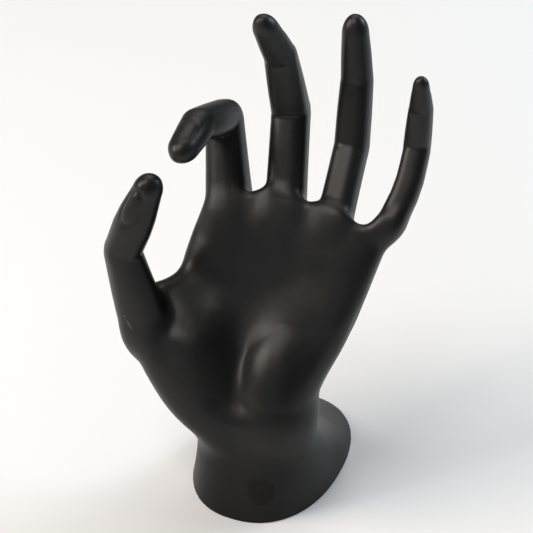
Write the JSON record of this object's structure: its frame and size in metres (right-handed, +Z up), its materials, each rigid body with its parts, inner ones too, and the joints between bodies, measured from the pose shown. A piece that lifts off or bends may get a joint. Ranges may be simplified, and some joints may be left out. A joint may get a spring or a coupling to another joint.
{
  "type": "hand jewelry stand",
  "caption": "Slender upright hand on a flared oval wrist foot, forefinger curled towards the thumb, that holds rings, bracelets and necklaces on show.",
  "frame": {"origin": "centre of the flat underside of the foot, where it meets the table", "axes": "+Z up; -Y is the side that the palm faces, +X towards the little finger, -X towards the thumb"},
  "size_m": [0.097, 0.084, 0.1692],
  "materials": {
    "satin_black_resin": "satin black over cast resin, soft broad highlights, a few pinholes and rubbed marks"
  },
  "bodies": {
    "root": {"hand_stand": "satin_black_resin"}
  },
  "joints": []
}
